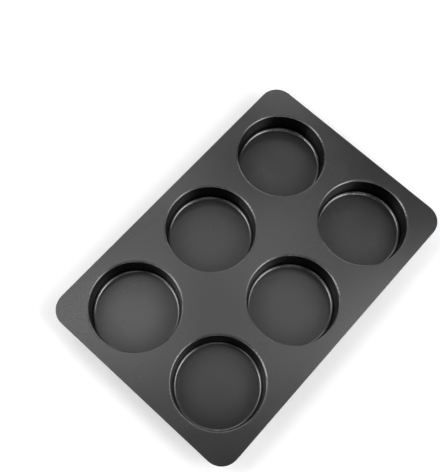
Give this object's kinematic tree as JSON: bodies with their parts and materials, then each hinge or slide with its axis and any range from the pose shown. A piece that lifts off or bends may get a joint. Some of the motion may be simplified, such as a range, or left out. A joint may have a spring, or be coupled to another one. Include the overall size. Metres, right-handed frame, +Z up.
{
  "type": "hamburger bun pan",
  "caption": "Rectangular dark non-stick baking pan: round flat-bottomed wells for burger buns, drawn into one flat steel sheet with rounded corners.",
  "frame": {"origin": "below the middle of the plate, in the plane of the well bottoms that the pan stands on", "axes": "+Z up out of the wells, +X along the plate's long side, +Y along its short side"},
  "size_m": [0.375, 0.254, 0.0308],
  "materials": {
    "nonstick_coating": "satin dark grey non-stick coating on steel sheet, on both faces"
  },
  "bodies": {
    "root": {"pan": "nonstick_coating"}
  },
  "joints": []
}
